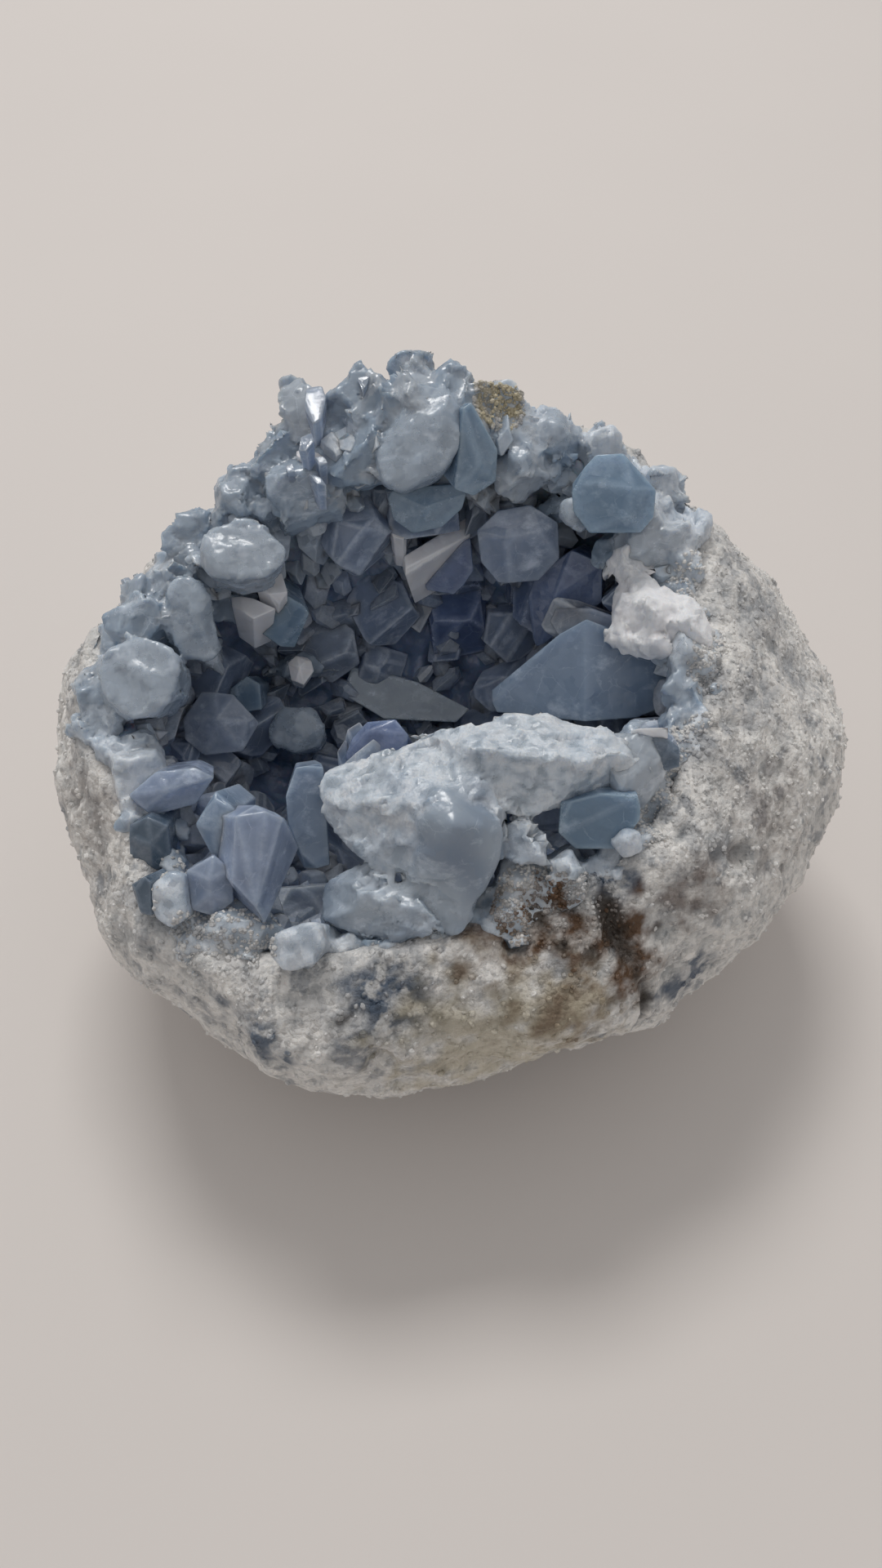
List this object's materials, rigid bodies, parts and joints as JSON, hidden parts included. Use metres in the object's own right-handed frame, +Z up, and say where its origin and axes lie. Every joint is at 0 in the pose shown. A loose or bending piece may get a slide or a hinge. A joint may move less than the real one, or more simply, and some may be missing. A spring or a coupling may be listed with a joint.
{
  "type": "celestite geode",
  "caption": "Broken-open celestite nodule: a granular pale rind around a hollow lined with translucent pale blue crystals, resting on a small flat spot.",
  "frame": {"origin": "on the surface that the geode rests on, under the middle of its bounding box", "axes": "+Z up; the open side leans towards -Y, the highest part of the rim is at +Y, and +X is along the widest extent"},
  "size_m": [0.1052, 0.0864, 0.078],
  "materials": {
    "granular_rind": "rough granular white to beige matrix with iron staining",
    "celestite_crystal": "translucent pale blue crystal, cloudy inside, with flat vitreous faces"
  },
  "bodies": {
    "root": {"rind": "granular_rind", "crystal_crust": "celestite_crystal"}
  },
  "joints": []
}
